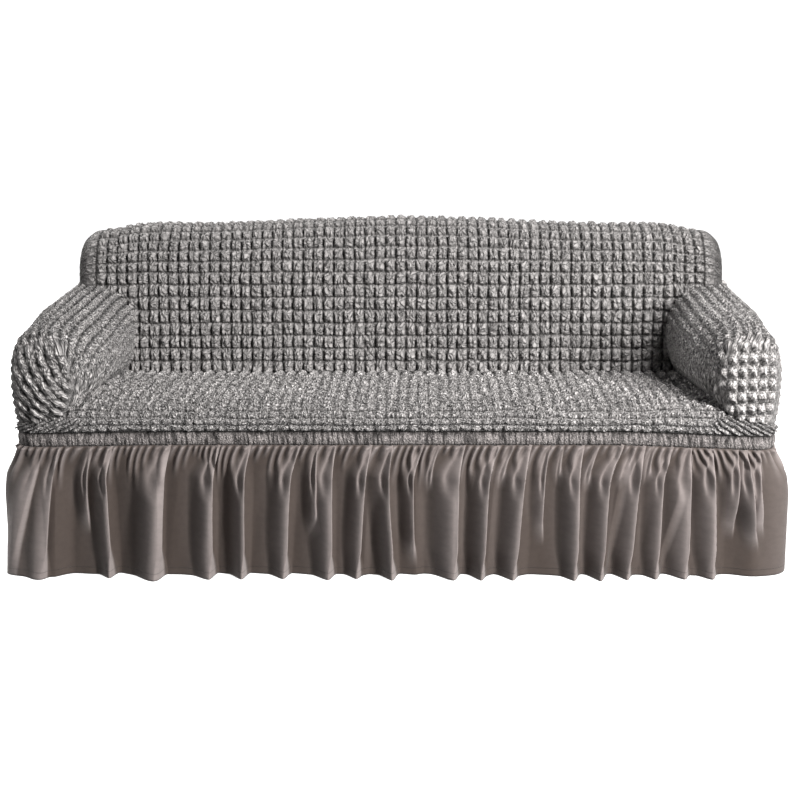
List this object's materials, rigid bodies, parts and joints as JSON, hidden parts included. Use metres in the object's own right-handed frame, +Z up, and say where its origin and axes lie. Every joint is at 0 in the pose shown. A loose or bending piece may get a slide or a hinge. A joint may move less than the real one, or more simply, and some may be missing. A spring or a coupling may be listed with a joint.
{
  "type": "sofa slipcover",
  "caption": "Fitted stretch slipcover for a three-seat sofa: bubble-textured back, seat and arms, an elastic waistband, and a gathered skirt that reaches the floor.",
  "frame": {"origin": "on the floor, under the middle of the cover", "axes": "+X to the right of someone who faces the sofa, -Y towards them (the front), +Z up"},
  "size_m": [2.1168, 0.9756, 0.8682],
  "materials": {
    "bubble_cloth": "matte warm-grey stretch seersucker with raised square bubbles between flat puckered lines",
    "band_cloth": "matte warm grey, finely shirred over elastic",
    "skirt_cloth": "smooth matte microfibre, a slightly browner grey with a faint sheen on its folds"
  },
  "bodies": {
    "root": {"back_inside": "bubble_cloth", "back_outside": "bubble_cloth", "back_end_left": "bubble_cloth", "back_end_right": "bubble_cloth", "seat_panel": "bubble_cloth", "arm_left": "bubble_cloth", "arm_right": "bubble_cloth", "waistband": "band_cloth", "skirt_front": "skirt_cloth", "skirt_right": "skirt_cloth", "skirt_back": "skirt_cloth", "skirt_left": "skirt_cloth"}
  },
  "joints": []
}
